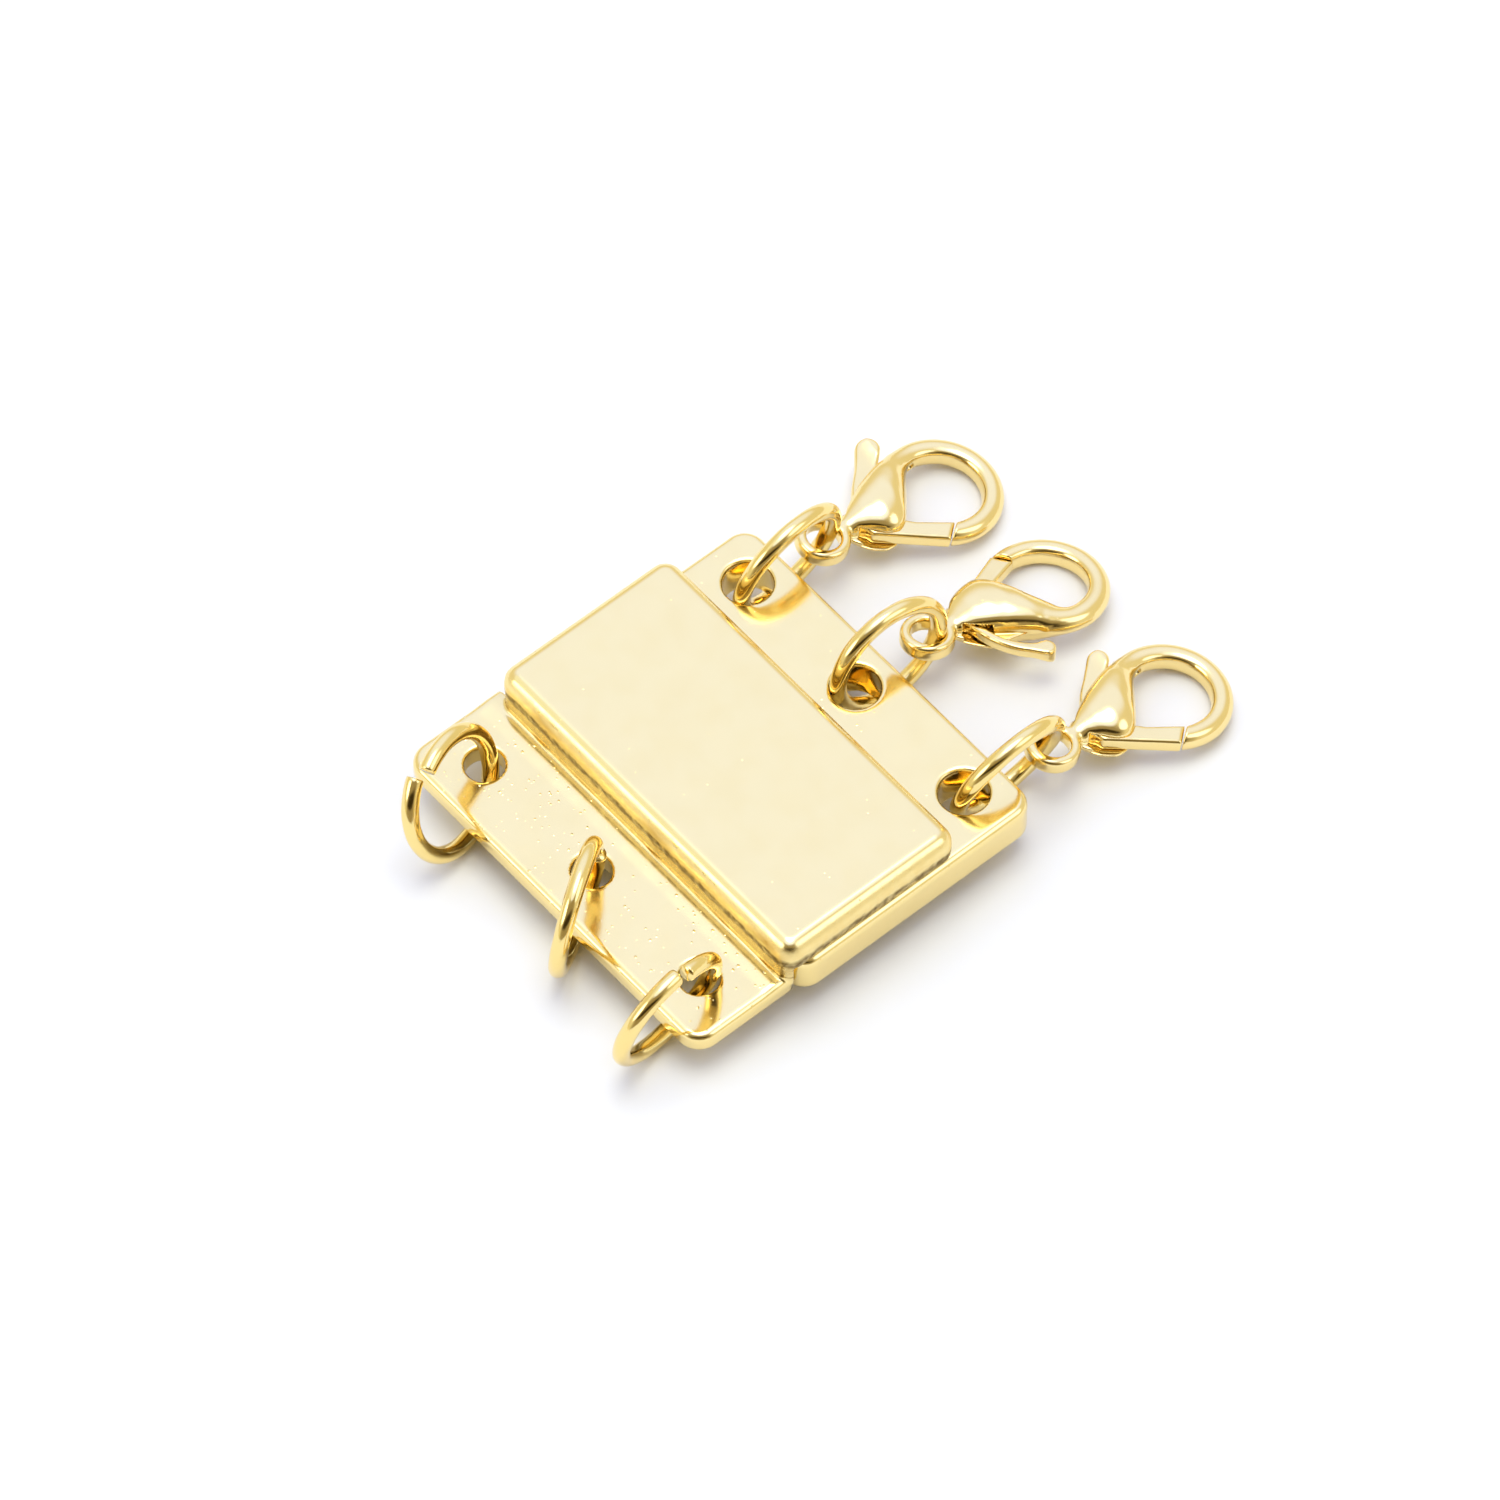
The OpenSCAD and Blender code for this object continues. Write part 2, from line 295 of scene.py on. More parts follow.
class Graph:
    """The shader nodes of a material or a world, with short ways to add the usual ones."""

    def __init__(self, owner):
        owner.use_nodes = True
        self.nodes = owner.node_tree.nodes
        self.links = owner.node_tree.links

    def fill(self, node, values):
        """Set each socket to its value, or link the other node's output that is given for it."""
        for key, value in values.items():
            if isinstance(value, bpy.types.NodeSocket):
                self.links.new(value, node.inputs[key])
            else:
                node.inputs[key].default_value = value
        return node

    def coordinates(self, kind):
        return self.nodes.new("ShaderNodeTexCoord").outputs[kind]

    def stretched(self, at, scale):
        node = self.nodes.new("ShaderNodeMapping")
        return self.fill(node, {"Vector": at, "Scale": scale}).outputs["Vector"]

    def upward(self, at):
        node = self.nodes.new("ShaderNodeSeparateXYZ")
        return self.fill(node, {"Vector": at}).outputs["Z"]

    def noise(self, at, scale, detail=2.0, output="Fac"):
        node = self.nodes.new("ShaderNodeTexNoise")
        return self.fill(node, {"Vector": at, "Scale": scale, "Detail": detail}).outputs[output]

    def ramp(self, source, start, end, low=0.0, high=1.0, smooth=False):
        """Low where the source is at its start or before, and high at its end or beyond."""
        node = self.nodes.new("ShaderNodeMapRange")
        if smooth:
            node.interpolation_type = "SMOOTHSTEP"
        values = {"Value": source, "From Min": start, "From Max": end, "To Min": low, "To Max": high}
        return self.fill(node, values).outputs["Result"]

    def maths(self, kind, a, b=0.0):
        node = self.nodes.new("ShaderNodeMath")
        node.operation = kind
        return self.fill(node, {0: a, 1: b}).outputs["Value"]

    def dot(self, at, direction):
        node = self.nodes.new("ShaderNodeVectorMath")
        node.operation = "DOT_PRODUCT"
        return self.fill(node, {0: at, 1: direction}).outputs["Value"]

    def mix(self, share, first, second):
        """A colour between two, each of which is three numbers or another node's output."""
        node = self.nodes.new("ShaderNodeMix")
        node.data_type = "RGBA"
        a, b = [(*colour, 1) if isinstance(colour, tuple) else colour for colour in (first, second)]
        return self.fill(node, {"Factor": share, "A": a, "B": b}).outputs["Result"]


# The texture that all plating has. Scales are in waves per metre, heights in millimetres.
DEEPER = (0.99, 0.98, 0.95)
TONE = {"scale": 600, "from": 0.4, "to": 0.7}
PEEL = {"scale": 9000, "height": 0.0006}
SCRATCH = {"scale": 1500, "detail": 3.0, "from": 0.68, "to": 0.72, "height": -0.0008}
SCRATCH_STRETCH = (1.0, 0.06, 1.0)
GLOSS = {"scale": 900, "detail": 3.0, "from": 0.3, "to": 0.7, "least": 0.9, "most": 1.12}
# How far apart the specks are and how their places are shaken, in shares of their size. Their radius is in
# shares of the distance between them.
SPECK = {"apart": 3, "shake_scale": 0.5, "shake": 0.7, "radius": (0.1, 0.26), "least": 0.4, "step": 0.02}
# A line wavers and is weaker in places. It is full over this part of its half width.
SHAKE = {"scale": 1800, "detail": 3.0, "from": 0.3, "to": 0.7}
PATCHINESS = {"scale": 2500, "from": 0.3, "to": 0.6, "least": 0.45}
FULL_PART = 0.4


def speck_height(graph, at, specks):
    """Small round specks on the surface, strewn over it, each with a size of its own."""
    size = specks["size"]
    shaken = graph.nodes.new("ShaderNodeVectorMath")
    shaken.operation = "MULTIPLY_ADD"
    shove = graph.noise(at, SPECK["shake_scale"] / (size * MM), output="Color")
    graph.fill(shaken, {0: shove, 1: (SPECK["shake"] * size * MM,) * 3, 2: at})
    cells = graph.nodes.new("ShaderNodeTexVoronoi")
    graph.fill(cells, {"Vector": shaken.outputs["Vector"], "Scale": 1 / (size * SPECK["apart"] * MM)})
    draw = graph.fill(graph.nodes.new("ShaderNodeSeparateColor"), {"Color": cells.outputs["Color"]})
    bare = 1 - specks["share"]
    chosen = graph.ramp(draw.outputs["Red"], bare, bare + SPECK["step"])
    radius = graph.ramp(draw.outputs["Green"], 0.0, 1.0, *SPECK["radius"])
    dome = graph.ramp(cells.outputs["Distance"], 0.0, radius, 1.0, 0.0, smooth=True)
    lowest = SPECK["least"] * specks["height"]
    tall = graph.ramp(draw.outputs["Green"], 0.0, 1.0, lowest, specks["height"])
    return graph.maths("MULTIPLY", graph.maths("MULTIPLY", chosen, dome), tall)


def with_line(graph, at, line, colour, roughness):
    """A line or wide band round the piece at one height, uneven in strength, that paints shade into the
    colour and changes the roughness.
    """
    shift = line["shake"] * MM
    shake = graph.noise(at, SHAKE["scale"], SHAKE["detail"])
    level = graph.maths("ADD", graph.upward(at), graph.ramp(shake, SHAKE["from"], SHAKE["to"], -shift, shift))
    off = graph.maths("ABSOLUTE", graph.maths("SUBTRACT", level, line["z"] * MM))
    band = graph.ramp(off, line["half"] * FULL_PART * MM, line["half"] * MM, 1.0, 0.0)
    patchiness = graph.ramp(graph.noise(at, PATCHINESS["scale"]), PATCHINESS["from"], PATCHINESS["to"], PATCHINESS["least"], 1.0)
    band = graph.maths("MULTIPLY", band, patchiness)
    # The line's colour mixed in here is painted shade.
    colour = graph.mix(graph.maths("MULTIPLY", band, line["share"]), colour, line["tone"])
    return colour, graph.maths("ADD", roughness, graph.maths("MULTIPLY", band, line["rough"]))


def gold(name, tone, rough, wave=0.0, wave_size=1.0, specks=None, lines=()):
    """Polished plating: tone and gloss that vary a little, soft waves, orange peel, scratches and specks."""
    material = bpy.data.materials.new(name)
    graph = Graph(material)
    at = graph.coordinates("Object")
    deeper = tuple(part * share for part, share in zip(tone, DEEPER))
    colour = graph.mix(graph.ramp(graph.noise(at, TONE["scale"]), TONE["from"], TONE["to"]), tone, deeper)
    height = graph.maths("MULTIPLY", graph.noise(at, 1 / (wave_size * MM), 1.0), wave)
    peel = graph.maths("MULTIPLY", graph.noise(at, PEEL["scale"]), PEEL["height"])
    height = graph.maths("ADD", height, peel)
    scratch = graph.noise(graph.stretched(at, SCRATCH_STRETCH), SCRATCH["scale"], SCRATCH["detail"])
    scratch = graph.ramp(scratch, SCRATCH["from"], SCRATCH["to"], 0.0, SCRATCH["height"])
    height = graph.maths("ADD", height, scratch)
    gloss = graph.noise(at, GLOSS["scale"], GLOSS["detail"])
    roughness = graph.ramp(gloss, GLOSS["from"], GLOSS["to"], rough * GLOSS["least"], rough * GLOSS["most"])
    if specks:
        height = graph.maths("ADD", height, speck_height(graph, at, specks))
    # The lines may mix painted shade into the colour, and they change the roughness.
    for line in lines:
        colour, roughness = with_line(graph, at, line, colour, roughness)
    bump = graph.nodes.new("ShaderNodeBump")
    graph.fill(bump, {"Strength": 1.0, "Distance": MM, "Height": height})
    graph.fill(graph.nodes["Principled BSDF"], {
        "Metallic": 1.0, "Base Color": colour, "Roughness": roughness, "Normal": bump.outputs["Normal"],
    })
    return material


GOLD = (0.96, 0.77, 0.34)
# On the upper half: the matt upper part of the walls, painted shade that darkens their lower part to a deeper
# gold, a line of painted shade at their step and a thin dark line at their foot.
WALL_BANDS_AND_PAINTED_SHADE = (
    {"z": 4.5, "half": 0.6, "shake": 0.05, "share": 0.0, "rough": 0.42, "tone": GOLD},
    {"z": 3.3, "half": 0.75, "shake": 0.05, "share": 0.9, "rough": 0.2, "tone": (0.7, 0.51, 0.19)},
    {"z": 3.88, "half": 0.38, "shake": 0.08, "share": 0.95, "rough": 0.2, "tone": (0.16, 0.095, 0.012)},
    {"z": 2.8, "half": 0.05, "shake": 0.01, "share": 0.8, "rough": 0.1, "tone": (0.3, 0.17, 0.03)},
)
GOLD_UPPER = gold(
    "gold_cast_upper", GOLD, rough=0.11, wave=0.002, wave_size=2.2,
    specks={"size": 0.1, "share": 0.05, "height": 0.012}, lines=WALL_BANDS_AND_PAINTED_SHADE,
)
GOLD_LOWER = gold(
    "gold_cast_lower", GOLD, rough=0.12, wave=0.003, wave_size=1.6,
    specks={"size": 0.12, "share": 0.12, "height": 0.014},
)
GOLD_PLATE = gold(
    "gold_pitted", GOLD, rough=0.13, wave=0.005, wave_size=1.2,
    specks={"size": 0.12, "share": 0.8, "height": 0.026},
)
GOLD_WIRE = gold("gold_wire", (0.95, 0.74, 0.29), rough=0.12, wave=0.006, wave_size=0.5)
GOLD_CLASP = gold(
    "gold_clasp", (0.96, 0.76, 0.33), rough=0.13, wave=0.02, wave_size=1.0,
    specks={"size": 0.07, "share": 0.04, "height": 0.01},
)
STEEL = gold("plated_steel", (0.62, 0.62, 0.64), rough=0.25)


# The two cast halves


def bores(p, holes, faces):
    """The three holes of a half, which widen to both faces with a rounded rim."""
    low, top = faces
    rim = holes["rim"]
    out = np.full(len(p), FAR)
    for k in (-1, 0, 1):
        away = np.hypot(p[:, 0] - holes["x"] - k * PITCH, p[:, 1] - holes["y"])
        near_face = np.clip(rim - np.minimum(top - p[:, 2], p[:, 2] - low), 0, rim)
        flare = rim - np.sqrt(rim * rim - near_face * near_face)
        out = np.minimum(out, away - holes["radius"] - flare)
    return out


def upper_field(p):
    step = np.clip((WALL_STEP["z"] - p[:, 2]) / WALL_STEP["fade"], 0, 1) * WALL_STEP["depth"]
    block = rounded_box(p, BLOCK) + step
    away = BLOCK["y"][0] - p[:, 1]
    near_top = np.clip((p[:, 2] - RAMP["from_z"]) / RAMP["fade"], 0, 1)
    rise = np.clip(RAMP["starts"] - away, 0, RAMP["span"]) * RAMP["slope"] * near_top
    plate = rounded_box(p - rise[:, None] * np.array([0.0, 0.0, 1.0]), PLATE)
    body = smooth_min(block, plate, blend=0.1)
    undercut = np.maximum(UNDERCUT["y"] - p[:, 1], p[:, 2] - UNDERCUT["z"])
    body = smooth_max(body, -undercut, blend=0.12)
    return smooth_max(body, -bores(p, PLATE_HOLES, PLATE["z"]), blend=0.05)


def lower_field(p):
    return smooth_max(rounded_box(p, LOWER), -bores(p, LOWER_HOLES, LOWER["z"]), blend=0.08)


upper = cast_piece("upper_casting", upper_field, UPPER_SPAN, CASTING_STEP, GOLD_UPPER)
upper.data.materials.append(GOLD_PLATE)
lower = cast_piece("lower_casting", lower_field, LOWER_SPAN, CASTING_STEP, GOLD_LOWER)
top_ends = (PLATE_TOP["y"] - BOX_MID[1]) * MM
upper_faces = upper.data.polygons
on_top = [int(face.center.y < top_ends and face.normal.z > PLATE_TOP["level"]) for face in upper_faces]
upper_faces.foreach_set("material_index", on_top)
dress(upper, "clasp", "upper_half")
dress(lower, "clasp", "lower_half")


# The rings


def tube(name, path, out, side, radius, place, closed):
    """A wire along a path, joined end to end or with two flat ends."""
    angles = np.linspace(0, 2 * math.pi, WIRE_SIDES, endpoint=False)
    sections = []
    for i in range(len(path)):
        outwards = radius[i] * np.cos(angles)[:, None] * out[i]
        sections.append(path[i] + (outwards + radius[i] * np.sin(angles)[:, None] * side[i]))
    count = len(sections)
    faces = []
    for i in range(count if closed else count - 1):
        here, ahead = i * WIRE_SIDES, (i + 1) % count * WIRE_SIDES
        for j in range(WIRE_SIDES):
            k = (j + 1) % WIRE_SIDES
            faces.append((here + j, ahead + j, ahead + k, here + k))
    if not closed:
        faces.append(tuple(range(WIRE_SIDES)))
        faces.append(tuple((count - 1) * WIRE_SIDES + j for j in reversed(range(WIRE_SIDES))))
    return new_object(name, to_frame(place(np.concatenate(sections))), faces, GOLD_WIRE)


def ring_placer(ring):
    matrix = turn("Z", ring["axis"][1]) @ turn("Y", ring["axis"][0]) @ turn("Z", ring.get("cut", 0))
    return lambda q: q @ matrix.T + np.array(ring["at"])


def wire_radius(t, slow, fast):
    """The wire's radius round a ring; a swing is given by its number of waves and where they start."""
    slow_swing = SLOW_SWING * np.sin(slow[0] * t + slow[1])
    fast_swing = FAST_SWING * np.sin(fast[0] * t + fast[1])
    return WIRE_R * (1 + slow_swing + fast_swing)


def link_ring(i):
    ring = LINK_RINGS[i]
    t = np.linspace(0, 2 * math.pi, RING_PARTS, endpoint=False)
    out = np.stack([np.cos(t), np.sin(t), 0 * t], axis=1)
    side = np.tile([0.0, 0.0, 1.0], (RING_PARTS, 1))
    radius = wire_radius(t, (5, i), (11, 2 * i))
    name = "closed_ring_%d" % (i + 1)
    piece = tube(name, out * RING_R, out, side, radius, ring_placer(ring), closed=True)
    dress(piece, "clasp", "link_ring_%d" % (i + 1))


def open_ring(i):
    ring = OPEN_RINGS[i]
    t = np.radians(np.linspace(HALF_GAP, 360 - HALF_GAP, RING_PARTS))
    lean = np.radians(ring["bend"]) * np.tanh((math.pi - t) / BEND_REACH)
    out, side, path = [], [], []
    for angle, tilt in zip(t, lean):
        c, s = math.cos(tilt), math.sin(tilt)
        bend = np.array([[c, 0, s], [0, 1, 0], [-s, 0, c]])
        radial = np.array([math.cos(angle), math.sin(angle), 0.0])
        path.append(bend @ (radial * RING_R + [RING_R, 0, 0]) - [RING_R, 0, 0])
        out.append(bend @ radial)
        side.append(bend @ [0.0, 0.0, 1.0])
    radius = wire_radius(t, (4, i), (13, i))
    radius[[0, -1]] *= CUT_NARROWER
    name = "cut_ring_%d" % (i + 1)
    piece = tube(name, np.array(path), out, side, radius, ring_placer(ring), closed=False)
    dress(piece, "clasp", "open_ring_%d" % (i + 1))


for number in range(3):
    open_ring(number)
    link_ring(number)


# The lobster clasps, each in its own frame: the eye at the origin, Y along it, the gate towards +X
# and the front shell on +Z.


PROFILE_SPAN = (0.5, 7.5)
PROFILE_POINTS = 281
PROFILE_BLUR = 0.16
BLUR_REACH = 20


def profile(stations):
    """A smooth curve through values given along the clasp's length."""
    u = np.linspace(*PROFILE_SPAN, PROFILE_POINTS)
    values = np.interp(u, *zip(*stations))
    reach = np.arange(-BLUR_REACH, BLUR_REACH + 1)
    weight = np.exp(-0.5 * (reach * (u[1] - u[0]) / PROFILE_BLUR) ** 2)
    padded = np.pad(values, BLUR_REACH, mode="edge")
    soft = np.convolve(padded, weight / weight.sum(), mode="valid")
    return lambda y: np.interp(y, u, soft)


# Each shell's sides towards the gate and the tab, and its top, as pairs of a place along the clasp and the
# value there.
FRONT = {
    "gate": profile([
        (1.2, 0.25), (1.6, 0.42), (2.19, 0.85), (2.8, 1.34), (3.44, 1.46), (4.0, 1.2), (4.5, 0.5),
        (5.2, -0.6), (5.93, -1.7), (6.8, -2.1),
    ]),
    "tab": profile([
        (1.2, -0.55), (1.64, -0.92), (2.19, -1.3), (3.14, -1.9), (4.43, -2.55), (5.47, -2.86), (6.8, -2.9),
    ]),
    "top": profile([
        (1.2, 0.42), (1.7, 0.66), (2.4, 1.0), (3.2, 1.24), (4.0, 1.28), (4.8, 1.08), (5.5, 0.76), (6.1, 0.5),
        (6.7, 0.25), (7.4, 0.02),
    ]),
}
UNDER_FRONT = {
    "gate": profile([
        (1.1, 0.4), (1.5, 0.95), (2.0, 1.4), (2.8, 1.74), (3.5, 1.6), (4.0, 1.0), (4.6, 0.0), (5.3, -1.2),
        (6.0, -2.0), (6.8, -2.2),
    ]),
    "tab": FRONT["tab"],
    "top": FRONT["top"],
}
BACK = {
    "gate": profile([
        (1.1, 0.4), (1.5, 0.92), (2.0, 1.35), (2.8, 1.7), (3.6, 1.88), (4.1, 1.62), (4.7, 0.95), (5.4, -0.15),
        (6.2, -1.2), (6.8, -2.0),
    ]),
    "tab": profile([
        (1.2, -0.5), (2.0, -0.95), (3.0, -1.5), (4.0, -2.0), (5.0, -2.5), (5.8, -2.75), (6.8, -2.9),
    ]),
    "top": profile([
        (1.2, 0.4), (1.7, 0.66), (2.4, 1.0), (3.2, 1.2), (4.0, 1.24), (4.8, 1.1), (5.5, 0.8), (6.1, 0.52),
        (6.7, 0.25), (7.4, 0.02),
    ]),
}
UNDER_BACK = {
    "gate": profile([
        (1.2, 0.25), (2.2, 0.85), (3.2, 1.3), (4.0, 1.0), (4.6, 0.2), (5.4, -1.0), (6.2, -2.0), (6.8, -2.2),
    ]),
    "tab": profile([
        (1.1, -0.6), (1.5, -1.1), (2.4, -1.85), (3.0, -2.1), (3.6, -2.05), (4.2, -2.1), (5.0, -2.5),
        (5.8, -2.75), (6.8, -2.9),
    ]),
    "top": BACK["top"],
}
SHELL = {"starts": 1.15, "ends": 7.4, "probe": 0.02, "crown": 1.05, "least_crown": 0.05, "dome_share": 0.75}
# The eye's ring is cut off inside the body, and the neck joins it to the body. The pocket hollows the body
# where it goes over into the hook.
EYE = {"radius": 1.06, "wire": 0.27, "tall": 0.44, "ends": 1.72}
NECK = {"from": (0, 1.16, 0), "to": (0, 1.7, 0), "radii": (0.36, 0.5)}
POCKET = {"from": (-0.6, 4.8, 0), "to": (-1.9, 6.3, 0), "radii": (0.3, 0.2)}
# The hook is part of a ring. Its half width is given at angles round its middle, and its inner side is a
# little flat, at this many half widths from its outer side.
HOOK_MID = (0.0, 6.78)
HOOK_OUT = 3.05
HOOK_TALL = 0.58
HOOK_INNER = 1.82
HOOK_ANGLES = (-24, 0, 60, 110, 160, 212)
HOOK_HALVES = (0.53, 0.57, 0.59, 0.59, 0.62, 0.6)
LEAST_ANGLE = -90
# The lever turns on a hub in the slot between the shells. Its gate ends at a joint with the hook's tip.
HUB = {"y": 2.4, "radius": 0.58, "tall": 0.39, "room": 0.67, "pin": 0.33}
GATE_SLOT = [(-0.6, 2.3), (-0.3, 5.6), (2.4, 5.6), (2.4, 2.2), (1.6, 1.7), (0.5, 1.7)]
SLOT_TALL = 0.43
GATE_END = (2.295, 5.975)
GATE_TURN = 46.4
GATE_GAP = 0.03
GATE_PLAN = [(0.0, 2.6), (1.36, 4.4), (2.5, 6.8), (3.0, 6.4), (2.5, 5.5), (0.78, 2.45), (0.4, 2.3)]
GATE_ROUND = 0.25
GATE_TALL = 0.4
# The space that is kept free before the hook's tip, along and across the joint.
BEFORE_TIP = {"depth": 2, "middle": -0.5, "half": 1.5}
# Each lever's arm: the points along its middle with half its width there, half its height, and how far the
# tip rises and thickens.
ARMS = [
    {
        "path": [(-0.2, 2.4, 0.3), (-1.4, 3.2, 0.54), (-2.55, 4.1, 0.52), (-3.5, 4.82, 0.6)],
        "tall": 0.3, "rise": 0.2, "flare": 0,
    },
    {
        "path": [
            (-0.2, 2.2, 0.3), (-1.7, 2.5, 0.22), (-2.75, 3.15, 0.24), (-3.32, 3.87, 0.31),
            (-3.55, 4.33, 0.46),
        ],
        "tall": 0.32, "rise": 0.1, "flare": 0.12,
    },
    {
        "path": [(-0.2, 2.4, 0.3), (-1.4, 3.2, 0.54), (-2.45, 4.12, 0.5), (-3.2, 4.83, 0.52)],
        "tall": 0.3, "rise": 0.2, "flare": 0,
    },
]
# The corners of an arm's slot before and after those that follow the arm, and how far they are from it.
SLOT_FIRST = [(-0.3, 2.95)]
SLOT_LAST = [(-5.2, 6.0), (-5.2, 1.2), (-1.2, 1.4), (-0.3, 1.7)]
ARM_PLAY = 0.06
# Where an arm's tip begins, before the path's last bend, how far beyond the path it goes on changing, in
# shares of its length, and how much thinner it gets.
TIP = {"before": 0.4, "beyond": 1.2, "taper": 0.05}


def curve(path, parts=6):
    """More points along a smooth line through the given ones."""
    points = np.array(path)
    padded = np.vstack([2 * points[0] - points[1], points, 2 * points[-1] - points[-2]])
    out = []
    for k in range(1, len(points)):
        a, b, c, d = padded[k - 1:k + 3]
        for t in np.arange(parts) / parts:
            bend = (2 * a - 5 * b + 4 * c - d) * t ** 2
            twist = (3 * b - a - 3 * c + d) * t ** 3
            out.append(0.5 * (2 * b + (c - a) * t + bend + twist))
    return out + [points[-1]]


def gate_frame(p):
    """Coordinates along and across the joint between the gate and the hook's tip."""
    c, s = math.cos(math.radians(GATE_TURN)), math.sin(math.radians(GATE_TURN))
    x, y = p[:, 0] - GATE_END[0], p[:, 1] - GATE_END[1]
    return x * c + y * s, y * c - x * s


def hook_field(p):
    x, y = p[:, 0] - HOOK_MID[0], p[:, 1] - HOOK_MID[1]
    angle = np.degrees(np.arctan2(y, x))
    angle = np.where(angle < LEAST_ANGLE, angle + 360, angle)
    held = np.clip(angle, HOOK_ANGLES[0], HOOK_ANGLES[-1])
    half = np.interp(held, HOOK_ANGLES, HOOK_HALVES)
    middle = HOOK_OUT - half
    cx, cy = middle * np.cos(np.radians(held)), middle * np.sin(np.radians(held))
    round_part = np.sqrt((x - cx) ** 2 + (y - cy) ** 2 + (p[:, 2] * half / HOOK_TALL) ** 2) - half
    inner_side = HOOK_OUT - HOOK_INNER * half - np.hypot(x, y)
    return smooth_max(round_part, inner_side, blend=0.2)


def shell_field(x, y, z, form):
    """One of the two bowed shells of the body, above the middle plane."""
    gate, tab = form["gate"](y), form["tab"](y)
    middle, half = (gate + tab) / 2, (gate - tab) / 2
    side = x - middle
    probe = SHELL["probe"]
    slope = np.where(side > 0, form["gate"](y + probe) - gate, form["tab"](y + probe) - tab) / probe
    edge = (np.abs(side) - half) / np.sqrt(1 + slope * slope)
    crown = np.sqrt(np.maximum(1 - (side / (SHELL["crown"] * half)) ** 2, SHELL["least_crown"]))
    dome = (z - form["top"](y) * crown) * SHELL["dome_share"]
    along = np.maximum(SHELL["starts"] - y, y - SHELL["ends"])
    shell = smooth_max(edge, dome, blend=0.36)
    return smooth_max(shell, smooth_max(along, -z, blend=0.02), blend=0.1)


def tab_slot(arm):
    """The slot that a lever's arm lies in, closed above the arm and open below it."""
    upper_side = []
    for (ax, ay, _), (bx, by, half) in zip(arm["path"][:-1], arm["path"][1:]):
        length = math.hypot(bx - ax, by - ay)
        reach = half + ARM_PLAY
        upper_side.append((bx + reach * (by - ay) / length, by - reach * (bx - ax) / length))
    return SLOT_FIRST + upper_side + SLOT_LAST


def body_field(p, arm, upper_shell, lower_shell):
    x, y, z = p[:, 0], p[:, 1], p[:, 2]
    shells = smooth_min(shell_field(x, y, z, upper_shell), shell_field(x, y, -z, lower_shell), blend=0.05)
    body = smooth_min(shells, hook_field(p), blend=0.3)
    slot = np.minimum(polygon(x, y, GATE_SLOT), polygon(x, y, tab_slot(arm)))
    slot = np.minimum(slot, np.hypot(x, y - HUB["y"]) - HUB["room"])
    body = smooth_max(body, -smooth_max(np.abs(z) - SLOT_TALL, slot, blend=0.05), blend=0.08)
    body = smooth_max(body, -segment(p, POCKET["from"], POCKET["to"], *POCKET["radii"]), blend=0.06)
    from_eye = np.hypot(x, y) - EYE["radius"]
    eye = smooth_max(np.abs(from_eye) - EYE["wire"], np.abs(z) - EYE["tall"], blend=0.3)
    eye = smooth_min(eye, segment(p, NECK["from"], NECK["to"], *NECK["radii"]), blend=0.2)
    eye = smooth_max(eye, -(from_eye + EYE["wire"]), blend=0.1)
    eye = smooth_max(eye, y - EYE["ends"], blend=0.05)
    body = smooth_min(body, eye, blend=0.12)
    along, across = gate_frame(p)
    sideways = np.abs(across - BEFORE_TIP["middle"]) - BEFORE_TIP["half"]
    before_tip = np.maximum(np.maximum(along - GATE_GAP, -along - BEFORE_TIP["depth"]), sideways)
    return smooth_max(body, -before_tip, blend=0.06)


def arm_field(p, arm):
    """A lever's arm: a strip that follows its path, with a tip that rises and thickens."""
    path = arm["path"]
    flat = p * np.array([1.0, 1.0, 0.0])
    strip = np.full(len(p), FAR)
    line = curve(path)
    for (ax, ay, half_a), (bx, by, half_b) in zip(line[:-1], line[1:]):
        strip = np.minimum(strip, segment(flat, (ax, ay, 0), (bx, by, 0), half_a, half_b))
    turn_y, tip_y = path[-2][1], path[-1][1]
    far = np.clip((p[:, 1] - turn_y + TIP["before"]) / (tip_y - turn_y + TIP["before"]), 0, TIP["beyond"])
    rise = arm["rise"] * far * far
    height = np.abs(p[:, 2] - rise) - arm["tall"] + TIP["taper"] * far - arm["flare"] * far * far
    return smooth_max(strip, height, blend=0.2)


def lever_field(p, arm):
    x, y, z = p[:, 0], p[:, 1], p[:, 2]
    gate = smooth_max(polygon(x, y, GATE_PLAN) - GATE_ROUND, gate_frame(p)[0] + GATE_GAP, blend=0.03)
    gate = smooth_max(gate, np.abs(z) - GATE_TALL, blend=0.24)
    from_pivot = np.hypot(x, y - HUB["y"])
    hub = smooth_max(from_pivot - HUB["radius"], np.abs(z) - HUB["tall"], blend=0.08)
    body = smooth_min(smooth_min(gate, hub, blend=0.1), arm_field(p, arm), blend=0.12)
    return smooth_max(body, -(from_pivot - HUB["pin"]), blend=0.04)


def clasp_placer(spec):
    matrix = turn("Z", -spec["heading"]) @ turn("X", -spec["droop"]) @ turn("Y", spec["roll"])
    matrix = matrix @ np.diag([spec["flip"], 1, spec["flip"]])
    return lambda q: q @ matrix.T + np.array(spec["eye"])


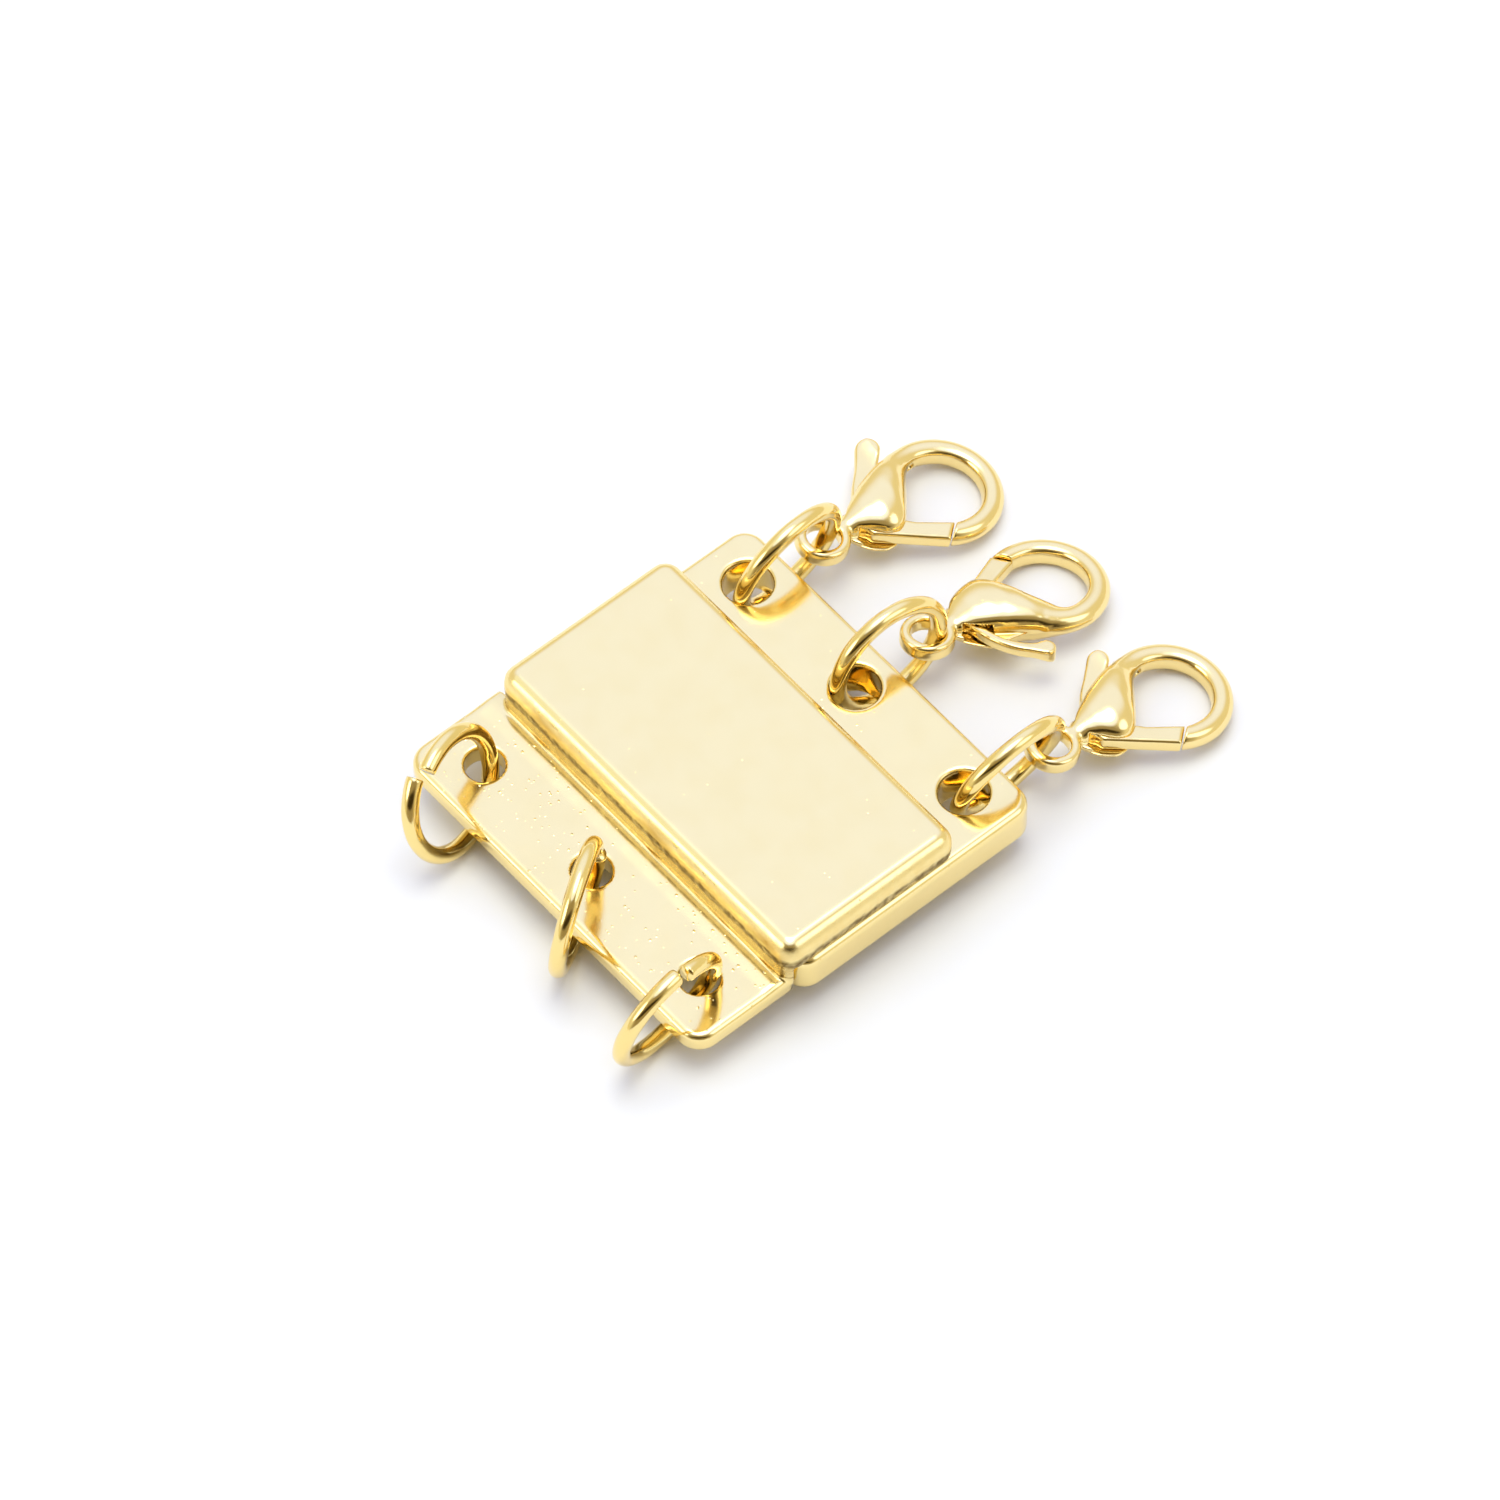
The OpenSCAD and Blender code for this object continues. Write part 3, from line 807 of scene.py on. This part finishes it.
for number, (spec, arm) in enumerate(zip(LOBSTERS, ARMS), start=1):
    tail = "_%d" % number
    placer = clasp_placer(spec)
    shells = (UNDER_BACK, BACK) if spec["flip"] < 0 else (FRONT, UNDER_FRONT)
    body = cast_piece(
        "clasp_body" + tail, lambda q: body_field(q, arm, *shells), BODY_SPAN, CLASP_STEP, GOLD_CLASP, placer
    )
    dress(body, "clasp", "lobster_body" + tail)
    lever = cast_piece(
        "clasp_lever" + tail, lambda q: lever_field(q, arm), LEVER_SPAN, CLASP_STEP, GOLD_CLASP, placer
    )
    dress(lever, "lever" + tail, "lobster_lever" + tail)

for node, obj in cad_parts.items():
    if "magnet" in node or "pin" in node:
        obj.data.materials.clear()
        obj.data.materials.append(STEEL)


# The floor, of white paper

FLOOR_HALF = 0.6
FLOOR_BELOW = 0.00004
FLECK_SCALE = 400
PAPER_DARKER = (0.86, 0.86, 0.85)
PAPER_LIGHTER = (0.88, 0.88, 0.87)
paper = bpy.data.materials.new("white_paper")
graph = Graph(paper)
tint = graph.mix(graph.noise(graph.coordinates("Generated"), FLECK_SCALE), PAPER_DARKER, PAPER_LIGHTER)
graph.fill(graph.nodes["Principled BSDF"], {"Roughness": 0.9, "Specular IOR Level": 0.1, "Base Color": tint})
corners = [(x * FLOOR_HALF, y * FLOOR_HALF, 0) for x, y in ((-1, -1), (1, -1), (1, 1), (-1, 1))]
floor = new_object("floor", corners, [(0, 1, 2, 3)], paper)
floor.location.z = cad_box[0][2] - FLOOR_BELOW


# The sky, which gives all the light. Angles are in degrees.

CAMERA_AZIMUTH = -40.46
HAZE_SCALE = 0.6
HAZE_BRIGHTER = (0.9, 0.85, 0.7)
HAZE_DIMMER = (0.8, 0.75, 0.6)
# Soft patches round a direction, full to one angle from it and gone at the other. Each covers the ones
# before it.
PATCHES = (
    {"azimuth": CAMERA_AZIMUTH, "elevation": 30, "full": 30, "gone": 58, "colour": (0.36, 0.3, 0.19)},
    {"azimuth": CAMERA_AZIMUTH + 180, "elevation": 54, "full": 16, "gone": 46, "colour": (0.99, 1.12, 1.8)},
    {"azimuth": 220, "elevation": 58, "full": 10, "gone": 18, "colour": (1.0, 1.07, 1.15)},
    {"azimuth": CAMERA_AZIMUTH - 68, "elevation": 33, "full": 13, "gone": 19, "colour": (2.5, 2.65, 3.0)},
    {"azimuth": CAMERA_AZIMUTH + 74, "elevation": 40, "full": 12, "gone": 20, "colour": (1.6, 1.75, 2.2)},
    {"azimuth": 0, "elevation": 90, "full": 21, "gone": 30, "colour": (1.08, 1.22, 1.9)},
    {"azimuth": CAMERA_AZIMUTH + 180, "elevation": 84, "full": 13, "gone": 20, "colour": (5.2, 5.2, 4.5)},
)
# A dark band on the camera's side, which the rounded edges mirror. It comes in between the first two
# elevations and goes out between the last two.
DARK_BAND = {"elevations": (17, 24, 40, 47), "facing": (0.62, 0.8), "colour": (0.04, 0.028, 0.008)}


def toward(azimuth, elevation):
    a, e = math.radians(azimuth), math.radians(elevation)
    return (math.cos(e) * math.cos(a), math.cos(e) * math.sin(a), math.sin(e))


world = bpy.data.worlds.new("studio")
bpy.context.scene.world = world
sky = Graph(world)
direction = sky.coordinates("Generated")
light = sky.mix(sky.noise(direction, HAZE_SCALE), HAZE_BRIGHTER, HAZE_DIMMER)
for patch in PATCHES:
    near = sky.dot(direction, toward(patch["azimuth"], patch["elevation"]))
    gone, full = math.cos(math.radians(patch["gone"])), math.cos(math.radians(patch["full"]))
    light = sky.mix(sky.ramp(near, gone, full, smooth=True), light, patch["colour"])
level = sky.upward(direction)
low, low_full, high_full, high = [math.sin(math.radians(v)) for v in DARK_BAND["elevations"]]
over_low = sky.ramp(level, low, low_full, smooth=True)
under_high = sky.ramp(level, high, high_full, smooth=True)
facing = sky.ramp(sky.dot(direction, toward(CAMERA_AZIMUTH, 0)), *DARK_BAND["facing"], smooth=True)
share = sky.maths("MULTIPLY", sky.maths("MULTIPLY", over_low, under_high), facing)
light = sky.mix(share, light, DARK_BAND["colour"])
sky.fill(sky.nodes["Background"], {"Color": light, "Strength": 1.0})


# The camera, fitted to the corners of the halves

CAMERA_AT = (273.32, -231.74, 544.86)
RIGHT = (0.6489, 0.7609, 0.0)
ABOVE = (-0.6337, 0.5405, 0.5535)
BACKWARD = (0.4212, -0.3592, 0.8328)
camera_data = bpy.data.cameras.new("camera")
camera_data.sensor_width = 36
camera_data.lens = 336
camera_data.clip_start = 0.05
camera_data.clip_end = 5
camera = bpy.data.objects.new("camera", camera_data)
bpy.context.scene.collection.objects.link(camera)
pose = np.eye(4)
pose[:3] = np.stack([RIGHT, ABOVE, BACKWARD, to_frame(CAMERA_AT)], axis=1)
camera.matrix_world = Matrix(pose)
bpy.context.scene.camera = camera
bpy.context.scene.view_settings.view_transform = "Standard"
